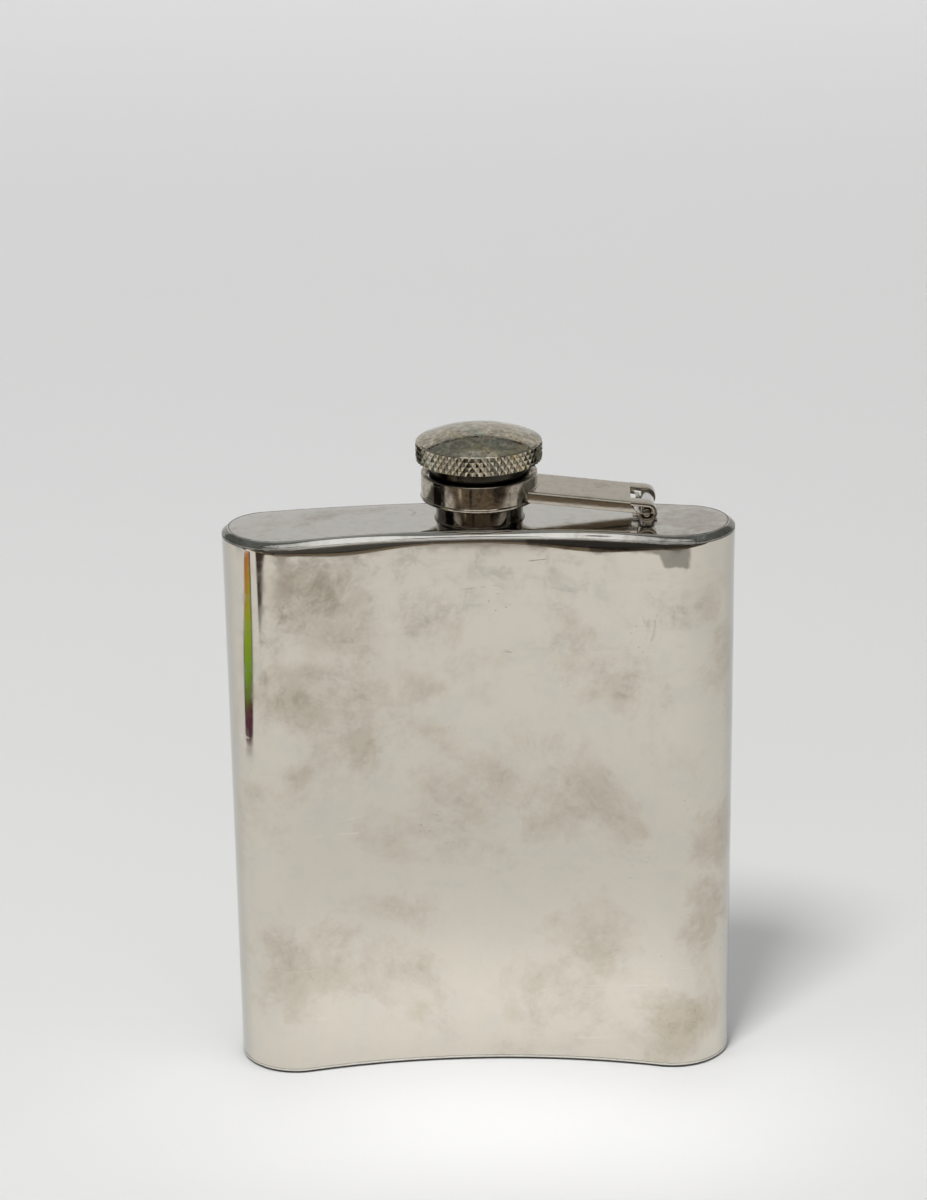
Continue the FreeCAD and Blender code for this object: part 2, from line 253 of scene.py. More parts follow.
class Graph:
    """Short names for the nodes of one material; lengths in it are metres unless it says so."""

    def __init__(self, name):
        self.material = bpy.data.materials.new(name)
        self.material.use_nodes = True
        self.tree = self.material.node_tree
        self.tree.nodes.clear()
        self.shader = self.make("ShaderNodeBsdfPrincipled", {})
        self.make("ShaderNodeOutputMaterial", {"Surface": self.shader.outputs[0]})
        self.place = self.make("ShaderNodeTexCoord", {}).outputs["Object"]
        self.ragged = self.noise(95, detail=7, roughness=0.68)

    def link(self, value, socket):
        """Join a node's output to the socket, or store a plain value in it."""
        if isinstance(value, bpy.types.NodeSocket):
            self.tree.links.new(value, socket)
        else:
            socket.default_value = value

    def make(self, kind, inputs, **settings):
        made = self.tree.nodes.new(kind)
        for key, value in settings.items():
            setattr(made, key, value)
        for key, value in inputs.items():
            self.link(value, made.inputs[key])
        return made

    def stretch(self, scale=(1, 1, 1), location=(0, 0, 0), rotation=(0, 0, 0)):
        inputs = {"Vector": self.place, "Scale": scale, "Location": location, "Rotation": rotation}
        return self.make("ShaderNodeMapping", inputs).outputs[0]

    def noise(self, scale, detail, roughness, vector=None, distortion=0.0):
        inputs = {
            "Vector": self.place if vector is None else vector,
            "Scale": scale,
            "Detail": detail,
            "Roughness": roughness,
            "Distortion": distortion,
        }
        return self.make("ShaderNodeTexNoise", inputs).outputs["Fac"]

    def cells(self, scale):
        """Distance to the nearest of many scattered points."""
        inputs = {"Vector": self.place, "Scale": scale}
        return self.make("ShaderNodeTexVoronoi", inputs).outputs["Distance"]

    def span(self, value, low, high, start=0.0, end=1.0):
        """Smooth step of value from low to high, onto start to end."""
        inputs = {"Value": value, "From Min": low, "From Max": high, "To Min": start, "To Max": end}
        made = self.make("ShaderNodeMapRange", inputs, interpolation_type="SMOOTHSTEP")
        return made.outputs[0]

    def fade(self, value, low, high):
        """Smooth step of value, 1 up to low and 0 from high on."""
        return self.span(value, low, high, 1.0, 0.0)

    def math(self, operation, a, b=0.5, clamp=False):
        made = self.make("ShaderNodeMath", {0: a, 1: b}, operation=operation, use_clamp=clamp)
        return made.outputs[0]

    def plus(self, a, b, clamp=False):
        return self.math("ADD", a, b, clamp)

    def minus(self, a, b):
        return self.math("SUBTRACT", a, b)

    def times(self, a, b):
        return self.math("MULTIPLY", a, b)

    def distance(self, x, y, z):
        """Distance in metres from a point given in millimetres."""
        inputs = {0: self.place, 1: (x * MM, y * MM, z * MM)}
        return self.make("ShaderNodeVectorMath", inputs, operation="DISTANCE").outputs["Value"]

    def mix(self, a, b, share, blend="MIX"):
        """Blend colours a and b; inputs 0, 6 and 7 are the node's factor and two colours."""
        made = self.make(
            "ShaderNodeMix", {0: share, 6: a, 7: b}, data_type="RGBA", blend_type=blend
        )
        return made.outputs[2]

    def paint(self, colour, over, share):
        """Lay a plain colour over another by a mask or a share."""
        return self.mix(colour, (*over, 1), share)

    def ramp(self, value, stops):
        made = self.make("ShaderNodeValToRGB", {"Fac": value})
        fill_ramp(made.color_ramp, stops)
        return made.outputs["Color"]

    def bump(self, height, strength, distance, normal=None):
        inputs = {"Height": height, "Strength": strength, "Distance": distance}
        if normal is not None:
            inputs["Normal"] = normal
        return self.make("ShaderNodeBump", inputs).outputs[0]

    def hairs(self, scale, stretched, rotation, width, sparse):
        """Thin wandering scratches, kept only here and there."""
        wave = self.noise(scale, 2, 0.4, self.stretch(stretched, rotation=rotation))
        off = self.math("ABSOLUTE", self.minus(wave, 0.5))
        where = self.noise(110, 3, 0.6, self.stretch(location=(3, 5, 7)))
        return self.times(self.fade(off, 0.0, width), self.span(where, sparse, sparse + 0.08))

    def spot(self, x, y, z, radius):
        """Ragged nearness to a point, in millimetres: 1 at it and 0 from 1.3 radii on."""
        away = self.distance(x, y, z)
        ragged = self.times(self.minus(self.ragged, 0.5), radius * MM * 3.2)
        return self.fade(self.plus(away, ragged), 0.1 * radius * MM, 1.3 * radius * MM)

    def patch(self, split, x, z):
        """Painted dark reflection with hard edges on the front under the rim, over a range of x and
        z in millimetres.
        """
        side_blur = 0.9
        end_blur = 0.7
        across, height = split.outputs["X"], split.outputs["Z"]
        shift = self.times(self.minus(self.ragged, 0.5), 5 * MM)
        slant = self.times(self.minus(height, 104.5 * MM), 0.45)
        across = self.plus(across, self.times(shift, 0.5))
        leaning = self.plus(across, slant)
        height = self.plus(height, shift)
        sides = self.times(self.span(leaning, x[0] * MM, (x[0] + side_blur) * MM),
                           self.fade(across, x[1] * MM, (x[1] + side_blur) * MM))
        ends = self.times(self.span(height, z[0] * MM, (z[0] + end_blur) * MM),
                          self.fade(height, z[1] * MM, (z[1] + end_blur) * MM))
        front = self.fade(split.outputs["Y"], -4 * MM, -2 * MM)
        return self.times(front, self.times(sides, ends))

    def droplet(self, x, y, z, radius):
        """The faint broken ring that a dried drop leaves."""
        wander = self.times(self.noise(260, 3, 0.5), radius * MM * 0.7)
        away = self.plus(self.distance(x, y, z), wander)
        off = self.math("ABSOLUTE", self.minus(away, radius * MM * 1.35))
        broken = self.span(self.ragged, 0.46, 0.56)
        return self.times(self.fade(off, 0.05 * MM, 0.5 * MM), broken)

    def finish(self, **inputs):
        for key, value in inputs.items():
            self.link(value, self.shader.inputs[key.replace("_", " ")])
        return self.material


def any_of(graph, masks):
    """The strongest of several masks at each point."""
    whole = masks[0]
    for mask in masks[1:]:
        whole = graph.math("MAXIMUM", whole, mask)
    return whole


# Colour of the painted dark reflection under the rim.
UNDER_RIM_DARK_COLOUR = (0.27, 0.25, 0.215)
# Colour of the top plate's edge where it is darker towards the ends.
RIM_COLOUR = (0.20, 0.20, 0.175)
# Colour of the painted shade on the end walls.
END_SHADE_COLOUR = (0.455, 0.45, 0.42)
PIT_COLOUR = (0.05, 0.04, 0.03)
# Colour of the painted shade bands.
SHADE_BAND_COLOUR = (0.045, 0.04, 0.03)


def tarnished(name, clean, stain, dull, shine, haze, marks=(), drops=(), grime=0.5, film=None,
              grain=1.0, shade_band=None, film_scale=None, dark_under_rim=(), rim=None, ends=None,
              mottle=False):
    """Polished metal gone dull: broad stains, fine haze, scuffs, scratches and pits.

    shine is the polish's roughness and haze is how much the stains add to it. grain makes the
    pattern finer. film tints the metal, shade_band blackens a range of heights as painted shade,
    dark_under_rim lays painted dark reflection below the rim in hard-edged bands, rim is the height
    below which the edge is darker, most towards both ends, and the sheet past ends, to the left and
    right, is darker with painted shade.
    """
    g = Graph(name)
    split = g.make("ShaderNodeSeparateXYZ", {0: g.place})
    x, z = split.outputs["X"], split.outputs["Z"]

    cloud = g.noise(42 * grain, 10, 0.68, distortion=0.25)
    if marks:
        near = any_of(g, [g.times(g.spot(*place), strength) for *place, strength in marks])
        cloud = g.plus(cloud, g.times(near, 0.34))
    broad = g.span(cloud, 0.52, 0.75)
    fine = g.span(g.noise(190 * grain, 8, 0.72, distortion=0.3), 0.38, 0.72)
    scuffs = g.span(g.noise(60 * grain, 7, 0.75, g.stretch((1, 1, 7))), 0.52, 0.78)
    upright = g.hairs(9 * grain, (1, 1, 9), (0, 0.12, 0), width=0.004, sparse=0.56)
    slanted = g.hairs(16 * grain, (5, 1, 1), (0, 0.5, 0.3), width=0.003, sparse=0.60)
    scratch = g.plus(upright, slanted, clamp=True)
    worn_end = g.span(x, 43.5 * MM, 46.5 * MM, 0.0, 0.13)
    dirty = g.plus(g.noise(45, 3, 0.5, g.stretch(location=(9, 2, 4))), worn_end)
    pits = g.times(g.fade(g.cells(900), 0.05, 0.16), g.span(dirty, 0.62, 0.68))
    stains = g.times(g.times(broad, g.span(fine, 0.0, 1.0, 0.65, 1.0)), grime)

    colour = g.mix((*clean, 1), (*dull, 1), g.times(fine, 0.6))
    if film:
        tint = g.ramp(g.noise(film_scale, 7, 0.68, distortion=0.6), film)
        colour = g.mix(colour, tint, 0.9, "MULTIPLY")
    if mottle:
        speck = g.span(g.noise(800, 7, 0.78), 0.38, 0.62, 0.6, 1.2)
        on_dome = g.span(z, (TOP + DOME_FOOT) * MM, (TOP + DOME_FOOT + 0.2) * MM)
        colour = g.mix(colour, speck, on_dome, "MULTIPLY")
    colour = g.paint(colour, stain, stains)
    # Painted dark reflection under the rim, in hard-edged bands.
    if dark_under_rim:
        hard = any_of(g, [g.patch(split, *patch) for patch in dark_under_rim])
        colour = g.paint(colour, UNDER_RIM_DARK_COLOUR, g.times(hard, 0.85))
    # Below the rim height the edge is darker, most towards both ends.
    if rim:
        side = g.math("ABSOLUTE", g.plus(x, 2 * MM))
        edge = g.fade(z, (rim - 0.12) * MM, rim * MM)
        worn = g.times(g.span(side, 24 * MM, 36 * MM, 0.12, 1.0), edge)
        worn = g.times(worn, g.span(fine, 0, 1, 0.65, 0.95))
        colour = g.paint(colour, RIM_COLOUR, worn)
    colour = g.paint(colour, dull, g.times(scuffs, 0.35))
    if drops:
        rings = any_of(g, [g.droplet(*drop) for drop in drops])
        colour = g.paint(colour, stain, g.times(rings, 0.55))
    bare = [min(1.25 * part, 0.9) for part in clean]
    colour = g.paint(colour, bare, g.times(scratch, 0.4))
    # Painted shade: the sheet past ends, to the left and right, is darker.
    if ends:
        bend = g.span(g.math("ABSOLUTE", x), ends * MM, (ends + 3) * MM, 0.0, 0.75)
        colour = g.paint(colour, END_SHADE_COLOUR, bend)
    colour = g.paint(colour, PIT_COLOUR, g.times(pits, 0.5))
    # Painted shade: a band of heights blackened where shade falls.
    if shade_band:
        bottom, top = shade_band
        shade_band_mask = g.times(g.span(z, (bottom - 0.1) * MM, bottom * MM),
                         g.fade(z, top * MM, (top + 0.2) * MM))
        colour = g.paint(colour, SHADE_BAND_COLOUR, shade_band_mask)

    rough = g.plus(g.span(fine, 0, 1, shine, shine + haze * 0.4), g.times(stains, haze))
    rough = g.plus(rough, g.times(scuffs, haze * 0.4))
    rough = g.plus(rough, g.times(scratch, 0.2), clamp=True)
    relief = g.minus(g.times(g.noise(420, 3, 0.6), 0.25), g.plus(scratch, pits))
    ripple = g.bump(g.noise(26, 2, 0.4), 1.0, 0.04 * MM)
    return g.finish(Base_Color=colour, Metallic=1.0, Roughness=rough,
                    Normal=g.bump(relief, 0.4, 0.01 * MM, ripple))


# Stains are x, y, z, radius and strength; drops are x, y, z and radius; a band of painted dark
# reflection under the rim is its range of x and of z; all in millimetres.
FACE_MARKS = [
    (-26, -11, 95, 15, 0.33), (-17, -10, 88, 12, 0.35), (-30, -12, 79, 10, 0.38),
    (-22, -11, 80, 9, 0.28), (-12, -9, 78, 5, 0.35), (29, -12, 77, 11, 0.40),
    (20, -10, 88, 12, 0.28), (39, -13, 94, 10, 0.42), (-8, -9, 63, 12, 0.42),
    (-21, -10, 60, 12, 0.36), (3, -8, 61, 11, 0.34), (16, -9, 55, 14, 0.36),
    (-1, -8, 49, 12, 0.26), (24, -10, 46, 12, 0.30), (-12, -9, 30, 9, 0.50),
    (24, -11, 30, 12, 0.46), (42, -11, 33, 9, 0.66), (-33, -13, 21, 12, 0.52),
    (-16, -9, 17, 14, 0.55), (9, -9, 15, 12, 0.40), (39, -13, 10, 9, 0.52),
    (44, -4, 82, 13, 0.50), (44, -4, 48, 13, 0.45),
]
FACE_DROPS = [(1.3, -8.4, 107.6, 2.0), (8.3, -8.7, 107.2, 2.7), (-25.3, -10.8, 73.5, 1.5)]
FACE_DARK_UNDER_RIM = [
    ((32.4, 38.0), (101.9, 120.0)), ((20.0, 33.2), (104.3, 120.0)), ((9.0, 20.6), (105.2, 120.0)),
]
PLATE_MARKS = [
    (40, -3, TOP, 13, 0.85), (35, 6, TOP, 9, 0.7), (-38, 1, TOP, 9, 0.35), (-27, 4, TOP, 8, 0.28),
]
PLATE_DROPS = [(-17, 0, TOP, 1.6), (-14, 4, TOP, 2.2)]
# Stops of the films that tint the fittings and the cap, each a position and a colour.
MOTTLED = [
    (0.30, (0.42, 0.37, 0.31)), (0.42, (0.66, 0.62, 0.56)), (0.50, (1.0, 0.98, 0.95)),
    (0.58, (0.62, 0.58, 0.52)), (0.70, (0.36, 0.31, 0.25)),
]
CAP_FILM = [
    (0.28, (0.78, 0.52, 0.50)), (0.38, (0.84, 0.78, 0.54)), (0.46, (0.62, 0.60, 0.52)),
    (0.54, (0.86, 0.80, 0.70)), (0.62, (0.50, 0.60, 0.53)), (0.72, (0.44, 0.40, 0.36)),
]

steel_wall = tarnished(
    "steel_wall", clean=(0.71, 0.665, 0.58), stain=(0.50, 0.435, 0.34), dull=(0.65, 0.62, 0.56),
    shine=0.065, haze=0.17, marks=FACE_MARKS, drops=FACE_DROPS, grime=0.9, dark_under_rim=FACE_DARK_UNDER_RIM,
    ends=44.5,
)
steel_plate = tarnished(
    "steel_plate", clean=(0.695, 0.68, 0.64), stain=(0.42, 0.365, 0.305), dull=(0.60, 0.58, 0.535),
    shine=0.06, haze=0.16, marks=PLATE_MARKS, drops=PLATE_DROPS, grime=0.7, grain=2.2,
    rim=TOP - 0.06,
)
# The base plate's foot carries a painted contact shadow.
steel_base = tarnished(
    "steel_base", clean=(0.74, 0.72, 0.67), stain=(0.46, 0.41, 0.35), dull=(0.66, 0.64, 0.59),
    shine=0.12, haze=0.16, grime=0.5, grain=1.5, shade_band=(0.02, BASE_SHADE_TOP),
)
steel_fitting = tarnished(
    "steel_fitting", clean=(0.54, 0.495, 0.425), stain=(0.12, 0.095, 0.066),
    dull=(0.34, 0.305, 0.25), shine=0.10, haze=0.20, grime=0.7, film=MOTTLED, grain=5.0,
    film_scale=300,
)
steel_arm = tarnished(
    "steel_arm", clean=(0.55, 0.50, 0.42), stain=(0.26, 0.21, 0.155), dull=(0.42, 0.375, 0.31),
    shine=0.10, haze=0.20, grime=0.75, grain=3.2,
)
# Far darker than the other steel: painted shade, as the neck sits in shade under the captive ring.
shaded_neck_steel = tarnished(
    "shaded_neck_steel", clean=(0.235, 0.21, 0.175), stain=(0.06, 0.05, 0.036), dull=(0.14, 0.12, 0.10),
    shine=0.10, haze=0.20, grime=0.6, film=MOTTLED, grain=4.0, film_scale=240,
)
steel_knuckle = tarnished(
    "steel_knuckle", clean=(0.78, 0.77, 0.76), stain=(0.45, 0.42, 0.38), dull=(0.66, 0.65, 0.63),
    shine=0.14, haze=0.15, grime=0.3, grain=3.0,
)
# Painted shade darkens the stem where it sits in the gap between the cap and the captive ring.
steel_stem = tarnished(
    "steel_stem", clean=(0.46, 0.43, 0.38), stain=(0.14, 0.11, 0.08), dull=(0.32, 0.29, 0.24),
    shine=0.16, haze=0.22, grime=0.8, grain=3.0, shade_band=(TOP + 8.2, TOP + 13),
)
steel_cap = tarnished(
    "steel_cap", clean=(0.74, 0.70, 0.625), stain=(0.20, 0.165, 0.135), dull=(0.46, 0.42, 0.36),
    shine=0.07, haze=0.55, grime=0.75, film=CAP_FILM, grain=6.0, film_scale=210, mottle=True,
)


def gasket_material():
    g = Graph("gasket_rubber")
    speckle = g.noise(900, 6, 0.7)
    stain = g.span(g.noise(220, 4, 0.6), 0.45, 0.7)
    colour = g.mix((0.62, 0.59, 0.52, 1), (0.40, 0.33, 0.25, 1), stain)
    colour = g.paint(colour, (0.75, 0.73, 0.67), g.span(speckle, 0.5, 0.8, 0.0, 0.4))
    rough = g.span(speckle, 0.2, 0.8, 0.5, 0.8)
    return g.finish(Base_Color=colour, Roughness=rough, Normal=g.bump(speckle, 0.6, 0.03 * MM))


def floor_material():
    g = Graph("floor_paper")
    tooth = g.noise(700, 4, 0.6)
    shade = g.noise(1.2, 2, 0.4)
    colour = g.mix((0.80, 0.805, 0.81, 1), (0.83, 0.83, 0.83, 1), shade)
    return g.finish(Base_Color=colour, Roughness=g.span(tooth, 0.2, 0.8, 0.7, 0.85),
                    Specular_IOR_Level=0.15, Normal=g.bump(tooth, 0.05, 0.1 * MM))


# ---------------------------------------------------------------- flask body

def curl(x, y, z, normal):
    """How far the front sheet pulls in where it meets the rim, and its slight unevenness."""
    forward = smooth(0.5, 0.95, -normal.y)
    left = bell(x, centre=-25, width=10)
    right = bell(x, centre=22, width=11)
    reach = (0.35 + 1.55 * left + 1.75 * right) * smooth(44, 38, abs(x))
    share = min(max((z - (PLATE_UNDER - reach)) / max(reach, 0.01), 0.0), 1.0)
    slope = 0.34
    pull = slope * reach * share * share / 2
    unevenness = 0.05
    wave = noise.noise(Vector((x * 0.035, y * 0.035, z * 0.03 + 4))) + 1
    edge = smooth(0, 8, z - SHELL_FOOT) * smooth(0, 8, PLATE_UNDER - z)
    return forward * pull + unevenness * wave * edge


def make_wall():
    shape = Shape()
    outer = crescent(0)
    coarse, fine = 3.2, 0.2
    heights = [SHELL_FOOT, SHELL_FOOT + 0.15]
    heights += [SHELL_FOOT + 2 + i * coarse for i in range(32)]
    heights += [PLATE_UNDER - coarse + i * fine for i in range(17)]
    rings = []
    for z in heights:
        rings.append([
            Vector((*(place - normal * curl(place.x, place.y, z, normal)), z))
            for place, normal in outer
        ])
    for z in (PLATE_UNDER, (PLATE_UNDER + SHELL_FOOT) / 2, SHELL_FOOT):
        rings.append([Vector((*place, z)) for place, _ in crescent(WALL)])
    shape.wrap(rings)
    shape.piece("body_wall", "flask", ["body_shell"], steel_wall, 40)


def rim_rows():
    """Inset and height of the top plate's rows, from its lower edge over the worn rim."""
    edge = TOP - RIM_DROP
    rows = [
        (0.10, PLATE_UNDER), (0.10, edge - 0.20), (0.02, edge - 0.10), (0.0, edge),
        (0.05, edge + 0.10),
    ]
    steps = 6
    for i in range(1, steps):
        share = i / steps
        bulge = 0.05 * math.sin(math.pi * share)
        rows.append((RIM_RUN * share - bulge, TOP - RIM_DROP * (1 - share) + bulge * 0.4))
    # A fine groove follows the bevel.
    rows += [
        (RIM_RUN - 0.02, TOP - 0.03), (RIM_RUN + 0.06, TOP - 0.04),
        (RIM_RUN + 0.12, TOP - 0.20), (RIM_RUN + 0.20, TOP - 0.20),
        (RIM_RUN + 0.27, TOP - 0.04), (RIM_RUN + 0.45, TOP),
    ]
    return rows


def make_top_plate():
    shape = Shape()
    rings = []
    for inset, z in rim_rows():
        ring = []
        for place, normal in crescent(0):
            pull = curl(place.x, place.y, PLATE_UNDER, normal) * smooth(RIM_RUN, 0, inset)
            ring.append(Vector((*(place - normal * (inset + pull)), z)))
        rings.append(ring)
    centre = Vector((NECK_X, NECK_Y))
    hole_radius = 8.1
    edge = rings[-1]
    hole = []
    for point in edge:
        outward = (point.xy - centre).normalized()
        hole.append(Vector((*(centre + outward * hole_radius), TOP)))
    for share in (0.25, 0.5, 0.75, 1.0):
        rings.append([a.lerp(b, share) for a, b in zip(edge, hole)])
    rings.append([Vector((p.x, p.y, PLATE_UNDER)) for p in hole])
    shape.wrap(rings)
    shape.piece("top_cover", "flask", ["top_plate"], steel_plate, 30)


def make_base_plate():
    shape = Shape()
    # Inset and height: a groove under the shell's edge, then the bevelled foot.
    profile = [
        (0.0, SHELL_FOOT), (0.12, SHELL_FOOT - 0.03), (0.14, SHELL_FOOT - 0.12),
        (0.02, SHELL_FOOT - 0.2), (0.0, 0.45), (0.06, 0.25), (0.2, 0.08), (0.4, 0.0),
    ]
    shape.loft([
        [Vector((*(place - normal * inset), z)) for place, normal in crescent(0)]
        for inset, z in profile
    ])
    shape.piece("base_cover", "flask", ["base_plate"], steel_base, 30)


def thread_form(angle, height, half_turn=0.0):
    """1 on a crest and 0 in a root of the right-hand thread."""
    root_starts = 0.36  # in pitches from the middle of the crest
    flank = 0.24
    phase = (height / THREAD_PITCH - angle / TURN + half_turn + 0.5) % 1.0 - 0.5
    return min(max((root_starts - abs(phase)) / flank, 0.0), 1.0)


def make_neck():
    bore = 5.6
    flange = 8.8
    shank = 8.1
    collar = 8.08
    thread_root = 6.75
    lead = 6.45

    def radius_at(angle, radius, height):
        if radius != thread_root:
            return radius
        fade = smooth(3.45, 4.0, height) * smooth(6.1, 5.6, height)
        return radius + THREAD_DEPTH * thread_form(angle, height) * fade

    outline = rounded([
        (bore, -2.0, 0.1), (flange, -2.0, 0.1), (flange, -1.4, 0), (shank, -1.4, 0),
        (shank, 0.02, 0), (8.5, 0.02, 0.05), (collar, 0.42, 0.5), (collar, 3.3, 0.3),
        (thread_root, 3.3, 0),
    ], closed=False)
    outline += [(thread_root, 3.35 + i * 0.1) for i in range(29)]
    outline += rounded([
        (lead, 6.35, 0), (lead, 7.5, 0.25), (bore, 7.5, 0.25), (bore, 0, 0),
    ], closed=False)
    shape = Shape()
    shape.lathe(outline, 144, radius_at)
    shape.piece("spout", "flask", ["neck"], shaded_neck_steel, 32)


# ---------------------------------------------------------------- hinge and arm

def hinge_matrix(slope):
    """Axes at the pin's centre: Y along the pin and X away from the neck, tipped by slope."""
    place = Matrix.Translation((PIN_X, PIN_Y, PIN_Z))
    return place @ Matrix.Rotation(ARM_YAW, 4, "Z") @ Matrix.Rotation(slope, 4, "Y")


def strip_rings(path, low, high, sheet, edge, matrix):
    """Rings of a flat strip's section along a path in the hinge's X-Z plane."""
    section = rounded([
        (low, -sheet / 2, edge), (high, -sheet / 2, edge),
        (high, sheet / 2, edge), (low, sheet / 2, edge),
    ], 3)
    rings = []
    for i, here in enumerate(path):
        ahead = path[min(i + 1, len(path) - 1)] - path[max(i - 1, 0)]
        ahead.normalize()
        out = Vector((-ahead.y, ahead.x))
        ring = []
        for across, through in section:
            flat = here + out * through
            ring.append(matrix @ Vector((flat.x, across, flat.y)))
        rings.append(ring)
    return rings


def arc(centre, radius, start, end, steps):
    """Points on an arc from one angle to another, in degrees."""
    turns = [math.radians(start + (end - start) * i / steps) for i in range(steps + 1)]
    x, y = centre
    return [Vector((x + radius * math.cos(t), y + radius * math.sin(t))) for t in turns]


ARM_HALF_WIDTH = 6.05
ARM_TOP = 1.87  # height of its outer face above the pin
RING_WALL = 10.82  # radius at which the arm meets the captive ring
ARM_FAR_END = -21.0  # about where that is, from the pin


def arm_section(sheet, flange_depth):
    """Outline of the channel: its web on top and a flange down each side."""
    half, under, foot = ARM_HALF_WIDTH, ARM_TOP - sheet, ARM_TOP - flange_depth
    inner_half = half - sheet
    web = [i * 0.8 for i in range(-5, 6)]
    return rounded([
        (-half, foot, 0.12), (-inner_half, foot, 0.12), (-inner_half, under, 0.3),
        *[(across, under, 0) for across in web],
        (inner_half, under, 0.3), (inner_half, foot, 0.12), (half, foot, 0.12),
        (half, ARM_TOP, 0.55), *[(-across, ARM_TOP, 0) for across in web], (-half, ARM_TOP, 0.55),
    ], 6)


def arm_ends(section, sheet):
    """Faces of the channel's curved ends: quads over the flat web and one face at each side."""
    flat_half = 4.01
    level = 1e-6
    flat = [i for i, (across, _) in enumerate(section) if abs(across) < flat_half]
    under = [i for i in flat if abs(section[i][1] - ARM_TOP + sheet) < level]
    top = [i for i in flat if abs(section[i][1] - ARM_TOP) < level]
    ends = [(a, a + 1, b - 1, b) for a, b in zip(under, reversed(top))][:-1]
    ends.append(tuple(range(under[-1], top[0] + 1)))
    ends.append((*range(top[-1], len(section)), *range(under[0] + 1)))
    return ends


def make_arm_channel():
    sheet = 0.85
    web_end = -3.15
    flange_end = -1.82
    matrix = hinge_matrix(ARM_SLOPE)
    section = arm_section(sheet, flange_depth=2.1)
    rings = [[], []]
    for across, up in section:
        # Slide along the arm until the point lies on the captive ring's wall.
        far = ARM_FAR_END
        for _ in range(6):
            world = matrix @ Vector((far, across, up))
            short = RING_WALL ** 2 - (world.y - NECK_Y) ** 2
            far += (NECK_X + math.sqrt(short) - world.x) / math.cos(ARM_SLOPE)
        in_web = up > ARM_TOP - sheet - 0.31
        rings[0].append(matrix @ Vector((far, across, up)))
        rings[1].append(matrix @ Vector((web_end if in_web else flange_end, across, up)))
    shape = Shape()
    middle = [[a.lerp(b, share) for a, b in zip(*rings)] for share in (0.25, 0.5, 0.75)]
    shape.loft([rings[0], *middle, rings[1]], ends=arm_ends(section, sheet))

    window_half = 3.25
    roll = 0.76
    roll_radius = ARM_TOP - roll / 2
    path = [Vector((web_end, roll_radius)), Vector((web_end / 2, roll_radius))]
    path += arc((0, 0), roll_radius, 90, -180, 40)
    for low, high in ((-ARM_HALF_WIDTH, -window_half), (window_half, ARM_HALF_WIDTH)):
        shape.loft(strip_rings(path, low, high, roll, 0.16, matrix))
    shape.piece("arm_channel", "arm", ["hinge_arm"], steel_arm, 32)


def make_arm_braze():
    """Bead of braze where the arm's upper face meets the captive ring."""
    radius = 0.24
    steps, sides = 24, 10
    reach = ARM_HALF_WIDTH - 0.3
    matrix = hinge_matrix(ARM_SLOPE)
    inverse = matrix.inverted()
    bead = []
    for i in range(steps + 1):
        share = 2 * i / steps - 1
        across = reach * share
        top = matrix @ Vector((ARM_FAR_END, across, ARM_TOP))
        lean = math.asin((top.y - NECK_Y) / RING_WALL)
        x = NECK_X + RING_WALL * math.cos(lean)
        local = inverse @ Vector((x, top.y, top.z))
        z = (matrix @ Vector((local.x, across, ARM_TOP))).z
        size = radius * math.sqrt(max(1 - share ** 6, 0.05))
        centre = Vector((x, top.y, z))
        out = Vector((math.cos(lean), math.sin(lean), 0))
        ring = []
        for k in range(sides):
            angle = TURN * k / sides
            up = Vector((0, 0, size * math.sin(angle)))
            ring.append(centre + out * (size * math.cos(angle)) + up)
        bead.append(ring)
    braze = Shape()
    braze.loft(bead)
    braze.piece("arm_braze", "arm", [], steel_arm, 60)


def make_captive_ring():
    bore, outside, foot_rim, lip = 10.2, 10.8, 10.95, 9.84
    shape = Shape()
    shape.lathe(rounded([
        (bore, 4.19, 0.12), (foot_rim, 4.19, 0.16), (foot_rim, 4.62, 0.14), (outside, 4.80, 0.1),
        (outside, 9.01, 0.28), (lip, 9.01, 0.2), (lip, 8.25, 0.1), (bore, 8.25, 0.05),
    ]), 160)
    shape.piece("ring_collar", "arm", ["captive_ring"], steel_fitting, 35)


def make_pin():
    shape = Shape()
    radius = 0.86
    longest_half = 6.15
    half = min((pin_high.y - pin_low.y) / 2 / MM, longest_half)
    outline = [
        (NEAR_AXIS, -half), (0.45, -half + 0.02), (0.72, -half + 0.07), (radius, -half + 0.25),
    ]
    outline += [(r, -along) for r, along in reversed(outline)]
    lying = hinge_matrix(0) @ Matrix.Rotation(math.pi / 2, 4, "X")
    shape.lathe(outline, 48, matrix=lying)
    shape.piece("hinge_rivet", "arm", ["hinge_pin"], steel_fitting, 50)


def make_bracket():
    sheet = 0.48
    half_width = 3.1
    loop = 1.25
    bend = 0.55
    level = -PIN_RISE + sheet / 2 + 0.01
    path = [Vector((-2.5, level))]
    path += arc((-loop - bend, level + bend), bend, -90, 0, 8)
    path += arc((0, 0), loop, 180, 0, 28)
    path += arc((loop + bend, level + bend), bend, 180, 270, 8)
    path += [Vector((2.0, level))]
    shape = Shape()
    shape.loft(strip_rings(path, -half_width, half_width, sheet, 0.1, hinge_matrix(0)))
    shape.piece("bracket_loop", "flask", ["hinge_bracket"], steel_knuckle, 40)


# ---------------------------------------------------------------- cap

